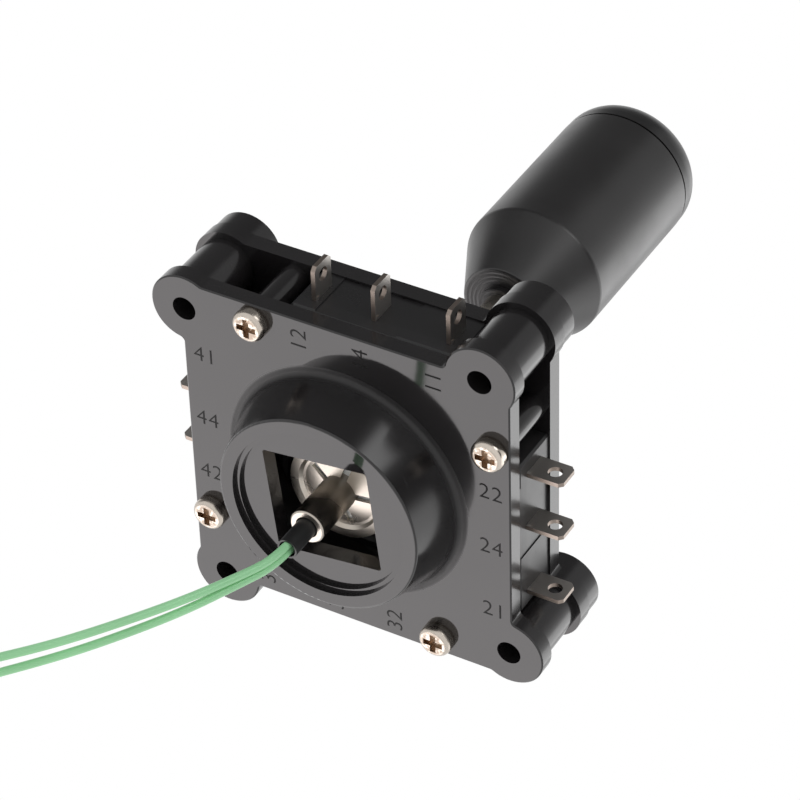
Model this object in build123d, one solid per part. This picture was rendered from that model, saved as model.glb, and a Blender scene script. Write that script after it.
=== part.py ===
from build123d import *
from math import atan2, degrees, pi, radians, sin, sqrt, tan
import os

# A small panel-mounted joystick with a push button in its grip.
# Four snap-action switches lie in a pinwheel between a rear and a front housing.
# The frame: +Z runs along the upright shaft towards the grip, X and Y run along the plate's sides,
# and the origin is the centre of the four front bosses, which sit against the machine's panel.
# All lengths are in millimetres and all angles in degrees.

# Mounting holes: four on a circle, turned a little against the plate's diagonals
bolt_circle = 50.0
bolt_hole = 2.8
hole_turn = 40.0
boss_height = 2.4
boss_diameter = 7.8

# Plates, lugs and posts
plate_side = 39.0
plate_corner = 0.5
plate_thickness = 2.0
lug_diameter = 8.1
lug_blend = 0.6
corner_post = 6.7
edge_round = 0.15

# Housing screws and the posts that they go into
screw_from_side = 2.17
screw_from_switch = 3.16
screw_post = 3.2
screw_thread = 1.8
screw_clearance_hole = 2.2
screw_length = 6.5
screw_head = 3.8
screw_head_height = 1.4
screw_head_round = 0.65
recess_span = 2.3
recess_width = 0.7
recess_depth = 0.75

# Snap-action switches, one on each side, each turned a quarter from the last
switch_length = 19.8
switch_height = 10.2
switch_thickness = 6.4
switch_play = 0.3
switch_inset = 0.2
switch_end_gap = 0.42
case_depth = 4.6
case_wall = 1.0
case_edge = 0.25
cover_edge = 0.35
cover_lip = 0.6
back_panel_low = -5.0
back_panel_high = 4.6
back_panel_step = 0.12
peg_pitch = 9.5
peg_diameter = 2.2
peg_hole = 2.35
peg_from_back = 2.9
peg_height = 5.2
terminal_width = 3.2
terminal_thickness = 0.5
terminal_reach = 4.1
terminal_root = 2.4
terminal_hole = 1.6
terminal_hole_from_tip = 1.6
terminal_bevel = 0.45
terminal_bead = 0.7
terminal_bead_height = 0.4
first_terminal = 7.9
second_terminal = 0.8
third_terminal = -8.0
plunger_width = 2.9
plunger_depth = 2.2
plunger_free = 1.6
plunger_length = 3.6
plunger_round = 0.5
plunger_fit = 0.05
plunger_travel = 1.0
actuator_gap = 0.1

# Collar on the rear housing
collar_rim = 23.8
collar_foot = 27.0
collar_height = 6.3
collar_flare = 0.6
rim_round = 0.3
rim_bore = 20.6
rim_bore_depth = 0.5
lip_bore = 19.5
lip_thickness = 0.5
collar_cavity = 19.8

# Gate disc
gate_disc_fit = 0.05
gate_shoulder = 0.35
gate_thickness = 2.0
gate_opening = 12.6
gate_turn = -6.5
gate_corner = 0.3

# Pivot: ball in a race, in a socket of the front housing
pivot_depth = 1.5
ball_diameter = 7.2
ball_length = 5.2
race_diameter = 10.0
race_length = 3.6
running_gap = 0.05
pin_diameter = 1.2
pin_gap = 0.03
pin_bite = 0.2
housing_pin_reach = 6.2
socket_boss = 13.0
socket_boss_depth = 1.7
front_boss = 16.0
front_boss_height = 1.8
front_boss_round = 0.5
shaft_mouth = 8.4

# Shaft and what it carries
shaft_diameter = 4.0
shaft_bore = 2.6
shaft_tail = 2.1
shaft_seat = 10.2
shaft_edge = 0.15
actuator_cup_bore = 12.6
actuator_cup_depth = 3.4
actuator_belt = 3.0
actuator_floor_thickness = 1.2
actuator_hub = 10.8
actuator_hub_length = 1.95
washer_bore = 9.3
washer_outer = 12.8
washer_thickness = 0.5
spring_wire = 0.6
spring_mean = 11.0
spring_turns = 3.5

# Star retainer
retainer_outer = 11.8
retainer_flange = 9.8
retainer_dish = 9.1
retainer_root = 8.5
retainer_sheet = 0.4
retainer_step = 0.35
retainer_rise = 0.35
retainer_teeth = 5
retainer_turn = 37.0
retainer_slot = 0.8
retainer_slot_reach = 7.8

# Grip and button
grip_diameter = 17.1
grip_foot = 10.0
grip_foot_height = 21.3
grip_length = 28.35
grip_cone_length = 7.2
grip_blend = 0.8
grip_foot_round = 0.3
grip_neck = 5.6
grip_neck_length = 0.7
grip_cavity = 13.2
grip_step = 1.0
grip_lip_bore = 15.4
grip_lip_depth = 2.6
button_fit = 0.08
button_inset = 0.05
button_seam = 0.3
button_side = 0.95
button_dome = 5.3
button_corner = 3.6
button_wall = 1.3
button_skirt = 1.5
button_stem = 3.2
button_travel = 0.25
button_overtravel = 0.05
button_spring_seat = 7.6
button_spring_seat_rise = 1.65
button_switch_height = 5.5
button_switch_depth = 5.6
button_bore_gap = 0.1
button_bore_depth = 3.0
button_spring_wire = 0.4
button_spring_mean = 6.4
button_spring_turns = 5.0
button_tab_length = 2.2
button_tab_width = 1.4
button_tab_thickness = 0.4
button_tab_spacing = 3.4

# Sleeve and wires
sleeve_outer = 2.3
sleeve_bore = 1.9
sleeve_out = 3.9
sleeve_in = 5.0
wire_diameter = 0.9
wire_spacing = 0.92
tip_diameter = 0.5
tip_length = 4.0

# The two wires' routes from inside the sleeve: X, Y and Z of each point of the centre line,
# with the last point at the stripped end
wire_route = [
    (0.0, 0.0, -23.8),
    (0.0, 0.0, -27.6),
    (1.7, 0.0, -31.6),
    (4.9, 0.0, -38.2),
    (9.6, 0.0, -45.6),
    (13.3, 0.0, -50.6),
    (18.0, 0.0, -56.0),
    (21.6, 0.0, -63.5),
    (23.4, 0.0, -74.0),
    (23.5, 0.0, -87.0),
    (22.5, 0.0, -99.0),
]
wire_spread = [0.0, 0.0, 0.03, 0.27, 0.42, 0.46, 0.6, 0.85, 1.15, 1.45, 1.7]

# Places that follow from the sizes above
post_side = bolt_circle / 2 * sin(radians(hole_turn)) - corner_post / 2
switch_offset = post_side - switch_end_gap - switch_length / 2
front_plate_front = -boss_height
front_plate_back = front_plate_front - plate_thickness
plate_gap = switch_thickness + switch_play
rear_plate_front = front_plate_back - plate_gap
rear_plate_back = rear_plate_front - plate_thickness
rim_height = rear_plate_back - collar_height
gate_back = rim_height + rim_bore_depth + lip_thickness
gate_front = gate_back + gate_thickness
switch_back_face = plate_side / 2 - switch_inset
switch_front_face = switch_back_face - switch_height
switch_top = front_plate_back
switch_middle = switch_top - switch_thickness / 2
case_back = switch_top - case_depth
cover_thickness = switch_thickness - case_depth
peg_y = switch_back_face - peg_from_back
plunger_tip = switch_front_face - plunger_free
plunger_root = plunger_tip + plunger_length
pivot_height = front_plate_front - pivot_depth
socket_back = front_plate_back - socket_boss_depth
washer_back = socket_back - washer_thickness
actuator_radius = plunger_tip - actuator_gap
actuator_rim = switch_middle
actuator_floor = actuator_rim - actuator_cup_depth
actuator_floor_low = actuator_floor - actuator_floor_thickness
retainer_front = actuator_floor_low - actuator_hub_length
shaft_rear = rim_height - shaft_tail
shaft_front = grip_foot_height + shaft_seat
grip_end = grip_foot_height + grip_length
grip_cavity_floor = shaft_front + grip_step
button_switch_top = grip_end - button_switch_depth
button_switch_low = button_switch_top - button_switch_height
button_foot = grip_end + button_seam
button_seat_height = button_foot + button_spring_seat_rise


def turned(points):
    """Solid turned about Z from a closed outline of radius and height pairs."""
    outline = Polyline(*points, close=True)
    return revolve(Plane.XZ * make_face(outline), Axis.Z)


def post(diameter, low, high):
    """Upright cylinder between two heights."""
    return Pos(0, 0, low) * Cylinder(diameter / 2, high - low, align=(Align.CENTER, Align.CENTER, Align.MIN))


def tube(outer, inner, low, high):
    """Upright tube between two heights."""
    return post(outer, low, high) - post(inner, low, high)


def around(radius, angle, count=4):
    """Places on a circle, evenly spaced, the first at an angle."""
    return [Rot(0, 0, angle + k * 360 / count) * Pos(radius, 0, 0) for k in range(count)]


def block(x_low, x_high, y_low, y_high, z_low, z_high):
    """Box given by its lowest and highest corners."""
    size = (x_high - x_low, y_high - y_low, z_high - z_low)
    return Pos(x_low, y_low, z_low) * Box(*size, align=(Align.MIN, Align.MIN, Align.MIN))


def helix_spring(wire, mean, low, high, turns):
    """Round wire spring between two seats."""
    rise = high - low - wire
    path = Helix(pitch=rise / turns, height=rise, radius=mean / 2)
    start = path @ 0
    section = Plane(origin=start, z_dir=path % 0) * Circle(wire / 2)
    return Pos(0, 0, low + wire / 2) * sweep(section, path=path, is_frenet=True)


def hole_places():
    """Centres of the four mounting holes."""
    return around(bolt_circle / 2, hole_turn)


def screw_places():
    """Centres of the four housing screws, each near the end of a switch and the plate's side."""
    x = switch_ends()[1] + screw_from_switch
    y = plate_side / 2 - screw_from_side
    return [turn * Pos(x, y, 0) for turn in quarter_turns()]


def quarter_turns():
    """The four switches' turns about Z."""
    return [Rot(0, 0, 90 * k) for k in range(4)]


def plate_outline():
    """Square plate with a round lug at each corner, blended where they meet."""
    outline = RectangleRounded(plate_side, plate_side, plate_corner)
    for place in hole_places():
        outline += place * Circle(lug_diameter / 2)
    inner_corners = [
        v for v in outline.vertices()
        if abs(v.center().length - bolt_circle / 2) < lug_diameter
    ]
    return fillet(inner_corners, lug_blend)


def make_rear_housing():
    """Rear plate with its lugs and the flared collar that holds the gate."""
    plate = Pos(0, 0, rear_plate_back) * extrude(plate_outline(), plate_thickness)
    plate = chamfer(plate.faces().sort_by(Axis.Z)[0].outer_wire().edges(), edge_round)
    foot = collar_foot / 2
    collar = turned([
        (0, rear_plate_back + plate_thickness / 2),
        (foot, rear_plate_back + plate_thickness / 2),
        (foot, rear_plate_back),
        (collar_rim / 2, rim_height),
        (0, rim_height),
    ])
    body = plate + collar
    foot_edges = [
        e for e in body.edges().filter_by(GeomType.CIRCLE)
        if abs(e.radius - foot) < 0.01 and abs(e.center().Z - rear_plate_back) < 0.01
    ]
    body = fillet(foot_edges, collar_flare)
    rim_edges = [
        e for e in body.edges().filter_by(GeomType.CIRCLE)
        if abs(e.radius - collar_rim / 2) < 0.01 and abs(e.center().Z - rim_height) < 0.01
    ]
    body = fillet(rim_edges, rim_round)
    gate_seat = collar_cavity / 2 + gate_shoulder
    lip_back = rim_height + rim_bore_depth
    body -= turned([
        (0, rim_height),
        (rim_bore / 2, rim_height),
        (rim_bore / 2, lip_back),
        (lip_bore / 2, lip_back),
        (lip_bore / 2, gate_back),
        (gate_seat, gate_back),
        (gate_seat, gate_front),
        (collar_cavity / 2, gate_front),
        (collar_cavity / 2, rear_plate_front),
        (0, rear_plate_front),
    ])
    for place in hole_places():
        body -= place * post(bolt_hole, rear_plate_back, rear_plate_front)
    for place in screw_places():
        body -= place * post(screw_clearance_hole, rear_plate_back, rear_plate_front)
    return body


def make_gate_disc():
    """Disc with the square opening that limits the shaft's swing."""
    outer = collar_cavity + 2 * gate_shoulder - 2 * gate_disc_fit
    disc = post(outer, gate_back, gate_front)
    opening = Rot(0, 0, gate_turn) * RectangleRounded(gate_opening, gate_opening, gate_corner)
    return disc - Pos(0, 0, gate_back) * extrude(opening, gate_thickness)


def make_front_housing():
    """Front plate with bosses, corner posts, screw posts, switch pegs and the pivot's socket."""
    body = Pos(0, 0, front_plate_back) * extrude(plate_outline(), plate_thickness)
    for place in hole_places():
        body += place * post(boss_diameter, front_plate_front, 0)
        body += place * post(corner_post, rear_plate_front, front_plate_front)
    for place in screw_places():
        body += place * post(screw_post, rear_plate_front, front_plate_front)
    for turn in quarter_turns():
        for x in peg_places():
            body += turn * Pos(x, peg_y, 0) * post(peg_diameter, switch_top - peg_height, front_plate_front)
    body += post(socket_boss, socket_back, front_plate_front)
    boss_front = front_plate_front + front_boss_height
    boss = post(front_boss, front_plate_back, boss_front)
    body += fillet(boss.faces().sort_by(Axis.Z)[-1].edges(), front_boss_round)
    socket = race_diameter / 2 + running_gap
    body -= Pos(0, 0, pivot_height) * Sphere(socket)
    body -= post(2 * socket, socket_back, pivot_height)
    body -= post(shaft_mouth, pivot_height, boss_front)
    body -= pin_slots()
    for place in hole_places():
        body -= place * post(bolt_hole, rear_plate_front, 0)
    for place in screw_places():
        body -= place * post(screw_thread, rear_plate_front, rear_plate_back + screw_length)
    return body


def pin_slots():
    """Two slots in the socket, open to the rear, that the race's pins drop into."""
    width = pin_diameter + 2 * pin_gap
    reach = housing_pin_reach + running_gap
    bar = Pos(0, 0, pivot_height) * Rot(0, 90, 0) * Cylinder(width / 2, 2 * reach)
    way = block(-reach, reach, -width / 2, width / 2, socket_back, pivot_height)
    return bar + way


def make_screws():
    """Four pan-head screws with a cross recess, from the rear."""
    return [place * housing_screw() for place in screw_places()]


def housing_screw():
    """One screw: a pan head with a round edge, its cross recess and a plain shank in place of the thread."""
    top = rear_plate_back - screw_head_height
    head = post(screw_head, top, rear_plate_back)
    head = fillet(head.faces().sort_by(Axis.Z)[0].edges(), screw_head_round)
    head += post(screw_thread, rear_plate_back, rear_plate_back + screw_length)
    span = recess_span / 2
    half = recess_width / 2
    bar = block(-span, span, -half, half, top, top + recess_depth)
    return head - (bar + Rot(0, 0, 90) * bar)


def switch_ends():
    """Where the first switch starts and ends along the plate's side."""
    return -switch_offset - switch_length / 2, -switch_offset + switch_length / 2


def switch_room(play):
    """The hollow for the contacts in the first switch's case, made smaller by some play at each wall."""
    x_low, x_high = switch_ends()
    inset = case_wall + play
    y_high = switch_back_face - 2 * peg_from_back - play
    y_low = switch_front_face + inset
    return block(x_low + inset, x_high - inset, y_low, y_high, case_back, switch_top - inset)


def make_switch_case():
    """The deeper half of the first switch's shell, with its cavity and the plunger's channel."""
    x_low, x_high = switch_ends()
    case = block(x_low, x_high, switch_front_face, switch_back_face, case_back, switch_top)
    case = chamfer(case.edges().filter_by(Axis.Z), case_edge)
    return case - switch_room(0) - plunger_channel() - peg_holes() - terminal_blanks() - back_panel()


def make_switch_cover():
    """The thin half of the first switch's shell, with a lip that locates it in the case."""
    x_low, x_high = switch_ends()
    cover = block(x_low, x_high, switch_front_face, switch_back_face, case_back - cover_thickness, case_back)
    cover = chamfer(cover.edges().filter_by(Axis.Z), case_edge)
    cover = chamfer(cover.faces().sort_by(Axis.Z)[0].outer_wire().edges(), cover_edge)
    lip = switch_room(plunger_fit) & block(x_low, x_high, 0, plate_side, case_back, case_back + cover_lip)
    cover += lip - plunger_channel()
    return cover - peg_holes() - terminal_blanks() - back_panel()


def back_panel():
    """Shallow step across the first switch's back face."""
    low = switch_top - switch_thickness
    y = switch_back_face - back_panel_step
    return block(back_panel_low, back_panel_high, y, switch_back_face, low, switch_top)


def plunger_channel():
    """Room for the plunger's shank in the switch's case, open towards the cover."""
    half = plunger_width / 2 + plunger_fit
    top = switch_middle + plunger_depth / 2 + plunger_fit
    deep = plunger_root + plunger_travel + plunger_fit
    return block(-half, half, switch_front_face, deep, case_back, top)


def peg_places():
    """Where the two pegs of the first switch stand along the plate's side."""
    return [-switch_offset + side * peg_pitch / 2 for side in (-1, 1)]


def peg_holes():
    """The two mounting holes through the first switch."""
    low = switch_top - switch_thickness
    first, second = [Pos(x, peg_y, 0) * post(peg_hole, low, switch_top) for x in peg_places()]
    return first + second


def terminal_places():
    """Where each terminal of the first switch stands along the plate's side."""
    return [-switch_offset + x for x in (first_terminal, second_terminal, third_terminal)]


def terminal_blanks():
    """The terminals' roots, as cutters for their slots in the shell."""
    roots = [terminal_root_block(x) for x in terminal_places()]
    return roots[0] + roots[1] + roots[2]


def terminal_root_block(x):
    """The part of a terminal that is inside the shell."""
    half = terminal_thickness / 2
    width = terminal_width / 2
    low = switch_back_face - terminal_root
    return block(x - half, x + half, low, switch_back_face, switch_middle - width, switch_middle + width)


def make_terminals():
    """Three flat solder terminals of the first switch, each with a hole and a bevelled tip."""
    return [terminal_root_block(x) + Pos(x, 0, 0) * terminal_blade() for x in terminal_places()]


def terminal_blade():
    """The part of a terminal that stands out of the shell."""
    foot = switch_back_face
    tip = foot + terminal_reach
    half = terminal_width / 2
    low_z = switch_middle - half
    high_z = switch_middle + half
    outline = Polyline(
        (foot, low_z), (tip - terminal_bevel, low_z), (tip, low_z + terminal_bevel),
        (tip, high_z - terminal_bevel), (tip - terminal_bevel, high_z), (foot, high_z), close=True,
    )
    face = make_face(outline) - Pos(tip - terminal_hole_from_tip, switch_middle) * Circle(terminal_hole / 2)
    blade = extrude(Plane.YZ * face, terminal_thickness / 2, both=True)
    bead = Cylinder(terminal_bead / 2, terminal_bead_height, align=(Align.CENTER, Align.CENTER, Align.MIN))
    return blade + Pos(0, foot, low_z + terminal_bead / 2) * Rot(-90, 0, 0) * bead


def make_plunger():
    """Plunger of the first switch, with a rounded head that faces the shaft."""
    half = plunger_width / 2
    depth = plunger_depth / 2
    head = block(-half, half, plunger_tip, plunger_root, switch_middle - depth, switch_middle + depth)
    front = head.faces().sort_by(Axis.Y)[0]
    return fillet(front.edges().filter_by(Axis.Z), plunger_round)


def make_race():
    """Ring with a round outside and a round bore, between the ball and the socket."""
    race = Pos(0, 0, pivot_height) * Sphere(race_diameter / 2)
    half = race_length / 2
    room = post(race_diameter, pivot_height - half, pivot_height + half)
    race = race & room
    race -= Pos(0, 0, pivot_height) * Sphere(ball_diameter / 2 + running_gap)
    across = Pos(0, 0, pivot_height) * Rot(90, 0, 0) * Cylinder(pin_diameter / 2 + pin_gap, race_diameter)
    along = Pos(0, 0, pivot_height) * Rot(0, 90, 0) * Cylinder(pin_diameter / 2, race_diameter)
    return race - across - along


def make_race_pins():
    """Two stub pins fixed in the race, which turn in the housing's slots."""
    inner = ball_diameter / 2 + running_gap + pin_bite
    length = housing_pin_reach - inner
    pin = Cylinder(pin_diameter / 2, length, align=(Align.CENTER, Align.CENTER, Align.MIN))
    return [Rot(0, 0, a) * Pos(inner, 0, pivot_height) * Rot(0, 90, 0) * pin for a in (0, 180)]


def make_ball():
    """Ball on the shaft, cut flat at both ends, with seats for its two stub pins."""
    ball = Pos(0, 0, pivot_height) * Sphere(ball_diameter / 2)
    half = ball_length / 2
    ball = ball & post(ball_diameter, pivot_height - half, pivot_height + half)
    ball -= post(shaft_diameter, pivot_height - half, pivot_height + half)
    across = Pos(0, 0, pivot_height) * Rot(90, 0, 0) * Cylinder(pin_diameter / 2, ball_diameter)
    return ball - across


def make_ball_pins():
    """Two stub pins fixed in the ball, which turn in the race."""
    inner = shaft_diameter / 2 + running_gap
    length = race_diameter / 2 - running_gap - inner
    pin = Cylinder(pin_diameter / 2, length, align=(Align.CENTER, Align.CENTER, Align.MIN))
    return [Rot(0, 0, a) * Pos(inner, 0, pivot_height) * Rot(0, 90, 0) * pin for a in (90, 270)]


def make_shaft():
    """Hollow shaft from its open rear end to its seat in the grip."""
    shaft = tube(shaft_diameter, shaft_bore, shaft_rear, shaft_front)
    rear = shaft.faces().sort_by(Axis.Z)[0]
    return chamfer(rear.outer_wire().edges(), shaft_edge)


def make_actuator():
    """Cup on the shaft whose round belt presses the switch plungers."""
    hub = actuator_hub / 2
    shaft = shaft_diameter / 2
    cup = actuator_cup_bore / 2
    belt_low = actuator_rim - actuator_belt
    belt_foot = sqrt(actuator_radius ** 2 - actuator_belt ** 2)
    half_belt = actuator_belt / 2
    belt = ThreePointArc(
        (actuator_radius, actuator_rim),
        (sqrt(actuator_radius ** 2 - half_belt ** 2), actuator_rim - half_belt),
        (belt_foot, belt_low),
    )
    rest = Polyline(
        (belt_foot, belt_low), (hub, actuator_floor_low), (hub, retainer_front), (shaft, retainer_front),
        (shaft, actuator_floor), (cup, actuator_floor), (cup, actuator_rim), (actuator_radius, actuator_rim),
    )
    return revolve(Plane.XZ * make_face(belt + rest), Axis.Z)


def make_retainer():
    """Push-on star retainer: a flange, a step down to a ring, and teeth that lean back along the shaft."""
    sheet = retainer_sheet
    seat = retainer_front
    flange = seat - retainer_step
    hub = seat - retainer_rise
    outer = retainer_outer / 2
    inner = retainer_flange / 2
    dish = retainer_dish / 2
    root = retainer_root / 2
    shaft = shaft_diameter / 2
    ring = turned([
        (outer, flange), (inner, flange), (dish, seat), (root, seat), (shaft, hub), (shaft, hub - sheet),
        (root, seat - sheet), (dish, seat - sheet), (inner, flange - sheet), (outer, flange - sheet),
    ])
    half = retainer_slot / 2
    slot = block(shaft / 2, retainer_slot_reach / 2, -half, half, hub - 2 * sheet, seat)
    for k in range(retainer_teeth):
        ring -= Rot(0, 0, retainer_turn + k * 360 / retainer_teeth) * slot
    return ring


def make_grip():
    """Grip body: a cone at the foot, a cylinder, a cavity and a thin lip round the button's skirt."""
    radius = grip_diameter / 2
    cone_top = grip_foot_height + grip_cone_length
    body = turned([
        (0, grip_foot_height), (grip_foot / 2, grip_foot_height), (radius, cone_top),
        (radius, grip_end), (0, grip_end),
    ])
    shoulder = [
        e for e in body.edges().filter_by(GeomType.CIRCLE)
        if abs(e.center().Z - cone_top) < 0.01 and abs(e.radius - radius) < 0.01
    ]
    body = fillet(shoulder, grip_blend)
    foot_edge = [
        e for e in body.edges().filter_by(GeomType.CIRCLE)
        if abs(e.center().Z - grip_foot_height) < 0.01
    ]
    body = fillet(foot_edge, grip_foot_round)
    body += post(grip_neck, grip_foot_height - grip_neck_length, grip_foot_height)
    body -= post(shaft_diameter, grip_foot_height - grip_neck_length, shaft_front)
    body -= post(shaft_bore, shaft_front, grip_cavity_floor)
    body -= post(grip_cavity, grip_cavity_floor, grip_end)
    return body - post(grip_lip_bore, grip_end - grip_lip_depth, grip_end)


def make_button_cap():
    """Domed button: a dome as wide as the grip, a skirt that slides in the grip, and a stem."""
    rim = grip_diameter / 2 - button_inset
    skirt = grip_lip_bore / 2 - button_fit
    inner = skirt - button_wall
    stem = button_stem / 2
    seat = button_spring_seat / 2
    skirt_low = button_foot - button_skirt
    stem_low = button_switch_top - button_bore_depth + button_travel + button_overtravel
    cap = make_dome(rim)
    cap -= turned([
        (stem, button_foot), (stem, button_seat_height), (seat, button_seat_height), (inner, button_foot),
    ])
    cap += tube(2 * skirt, 2 * inner, skirt_low, button_foot)
    return cap + post(2 * stem, stem_low, button_foot)


def make_dome(rim):
    """Straight side on the button's foot, then a dome: a crown arc that runs into a smaller rim arc."""
    corner = button_corner
    side_top = button_foot + button_side
    top = side_top + button_dome
    crown = ((rim - corner) ** 2 + button_dome ** 2 - corner ** 2) / (2 * (button_dome - corner))
    meeting = degrees(atan2(crown - button_dome, rim - corner))
    rim_arc = CenterArc((rim - corner, side_top), corner, 0, meeting)
    crown_arc = CenterArc((0, top - crown), crown, meeting, 90 - meeting)
    base = Polyline((0, top), (0, button_foot), (rim, button_foot), (rim, side_top))
    return revolve(Plane.XZ * make_face(rim_arc + crown_arc + base), Axis.Z)


def make_button_switch():
    """Switch block in the grip's cavity, with a bore for the button's stem."""
    body = post(grip_cavity, button_switch_low, button_switch_top)
    bore = button_stem + 2 * button_bore_gap
    body -= post(bore, button_switch_top - button_bore_depth, button_switch_top)
    return chamfer(body.faces().sort_by(Axis.Z)[-1].outer_wire().edges(), case_edge)


def make_button_tabs():
    """Two solder tabs under the button's switch."""
    half = button_tab_thickness / 2
    width = button_tab_width / 2
    low = button_switch_low - button_tab_length
    tabs = []
    for side in (-1, 1):
        y = side * button_tab_spacing / 2
        tabs.append(block(-width, width, y - half, y + half, low, button_switch_low))
    return tabs


def make_lead(side):
    """Lead from a tab of the button's switch down through the hollow shaft to the sleeve."""
    y = side * wire_spacing / 2
    tab_y = side * (button_tab_spacing / 2 - button_tab_thickness / 2 - wire_diameter / 2)
    end = button_switch_low - wire_diameter
    points = [
        (0, y, wire_route[0][2]),
        (0, y, grip_cavity_floor + wire_diameter),
        (0, tab_y, grip_cavity_floor + 4 * wire_diameter),
        (0, tab_y, end),
    ]
    return cord(points, wire_diameter)[0]


def make_sleeve():
    """Shrink sleeve round both wires where they leave the shaft."""
    return tube(sleeve_outer, sleeve_bore, shaft_rear - sleeve_out, shaft_rear + sleeve_in)


def corner_radii(points):
    """Radius of each corner's arc: 0.45 of the shorter run, over the tangent of half the turn."""
    radii = []
    for before, here, after in zip(points, points[1:], points[2:]):
        first = Vector(*here) - Vector(*before)
        second = Vector(*after) - Vector(*here)
        turn = radians(first.get_angle(second))
        radii.append(0.45 * min(first.length, second.length) / tan(turn / 2))
    return radii


def cord(points, diameter):
    """Round cord along straight runs joined by tangent arcs, with its path's length and its radii."""
    radii = corner_radii(points)
    path = FilletPolyline(*points, radius=radii)
    section = Plane(origin=path @ 0, z_dir=path % 0) * Circle(diameter / 2)
    return sweep(section, path=path), path.length, radii


def wire_points(side):
    """One wire's route: the shared route, moved sideways by half the wires' spacing and their spread."""
    return [(x, side * (wire_spacing / 2 + s), z) for (x, y, z), s in zip(wire_route, wire_spread)]


def make_wire(side):
    """One free wire, with its radii and its measured volume printed."""
    solid, length, radii = cord(wire_points(side), wire_diameter)
    area = pi * wire_diameter ** 2 / 4
    print("wire", side, "length", round(length, 1), "volume ratio", round(solid.volume / (area * length), 4))
    print("radii", [round(r, 1) for r in radii])
    return solid


def make_wire_tip(side):
    """Stripped and tinned end of one wire."""
    points = wire_points(side)
    way = (Vector(*points[-1]) - Vector(*points[-2])).normalized()
    place = Plane(origin=points[-1], z_dir=way)
    return extrude(place * Circle(tip_diameter / 2), tip_length)


def save(name, shape):
    """Write one node's STEP file."""
    solids = shape if isinstance(shape, list) else [shape]
    node = Compound(children=[s for item in solids for s in item.solids()])
    if len(node.solids()) == 1:
        node = node.solids()[0]
    export_step(node, "parts/" + name + ".step")


def make_housings():
    """Everything that stays with the panel, apart from the switches."""
    save("rear_housing", make_rear_housing())
    save("front_housing", make_front_housing())
    save("gate_disc", make_gate_disc())
    save("housing_screws", make_screws())
    save("spring_washer", tube(washer_outer, washer_bore, washer_back, socket_back))
    spring = helix_spring(spring_wire, spring_mean, actuator_floor, washer_back, spring_turns)
    save("centring_spring", spring)


def make_switches():
    """Four switches, each a quarter turn from the last."""
    case = make_switch_case()
    cover = make_switch_cover()
    terminals = make_terminals()
    plunger = make_plunger()
    for number, turn in enumerate(quarter_turns(), start=1):
        save("switch_case_" + str(number), turn * case)
        save("switch_cover_" + str(number), turn * cover)
        save("terminals_" + str(number), [turn * t for t in terminals])
        save("plunger_" + str(number), turn * plunger)


def make_stick():
    """The pivot, the shaft and all that swings with it."""
    save("pivot_race", make_race())
    save("race_pins", make_race_pins())
    save("pivot_ball", make_ball())
    save("ball_pins", make_ball_pins())
    save("shaft", make_shaft())
    save("actuator", make_actuator())
    save("star_retainer", make_retainer())
    save("grip_body", make_grip())
    save("button_cap", make_button_cap())
    save("button_spring", helix_spring(
        button_spring_wire, button_spring_mean, button_switch_top, button_seat_height, button_spring_turns))
    save("button_switch", make_button_switch())
    save("button_tabs", make_button_tabs())
    save("sleeve", make_sleeve())
    for number, side in ((1, -1), (2, 1)):
        save("lead_" + str(number), make_lead(side))
        save("wire_" + str(number), make_wire(side))
    save("wire_tips", [make_wire_tip(side) for side in (-1, 1)])


os.makedirs("parts", exist_ok=True)
make_housings()
make_switches()
make_stick()
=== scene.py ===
"""Looks of the industrial joystick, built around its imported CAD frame.

The frame: +Z runs along the upright shaft towards the grip, X and Y run along the plates' sides, and
the origin is the centre of the four front bosses' faces. Lengths are in metres. Only the camera's
lens and sensor and the wires' route, which repeats the source's list, are in millimetres.
"""

import logging
import math
from dataclasses import dataclass, replace
from enum import Enum

import bpy
import numpy as np
from mathutils import Matrix, Vector

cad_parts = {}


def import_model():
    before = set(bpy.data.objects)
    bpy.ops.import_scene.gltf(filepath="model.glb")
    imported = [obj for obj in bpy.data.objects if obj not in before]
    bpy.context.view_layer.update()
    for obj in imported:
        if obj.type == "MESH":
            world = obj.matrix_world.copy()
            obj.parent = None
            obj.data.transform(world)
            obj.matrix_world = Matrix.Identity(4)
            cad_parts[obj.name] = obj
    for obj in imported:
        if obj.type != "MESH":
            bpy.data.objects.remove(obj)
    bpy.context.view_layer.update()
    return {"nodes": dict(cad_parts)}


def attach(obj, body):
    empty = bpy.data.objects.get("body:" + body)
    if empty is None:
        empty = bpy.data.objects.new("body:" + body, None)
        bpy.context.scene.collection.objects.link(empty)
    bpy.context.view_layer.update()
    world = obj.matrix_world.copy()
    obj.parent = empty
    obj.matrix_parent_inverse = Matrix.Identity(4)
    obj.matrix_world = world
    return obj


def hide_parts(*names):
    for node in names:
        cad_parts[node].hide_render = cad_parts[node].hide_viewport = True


LOG = logging.getLogger("joystick")
MM = 0.001
UM = 0.000001

Colour = tuple[float, float, float]
Point = tuple[float, float, float]
Surface = tuple[np.ndarray, list[list[int]]]
Source = bpy.types.NodeSocket | float | tuple[float, ...]

WHITE: Colour = (1.0, 1.0, 1.0)


class Texture(Enum):
    """Which way a finish's fine marks run."""

    SPECKLED = "speckled"
    TURNED = "turned"


class Axis(Enum):
    """The frame's axes, by the place of their part in a vector."""

    X = 0
    Y = 1
    Z = 2


class Step(Enum):
    """How a band goes from 0 to 1."""

    SOFT = "SMOOTHSTEP"
    EVEN = "LINEAR"


class Blend(Enum):
    """Kinds of value that a Mix node blends, with the numbers of its two inputs and its output."""

    NUMBER = ("FLOAT", 2, 3, 0)
    COLOUR = ("RGBA", 6, 7, 2)


# Node helpers

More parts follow.
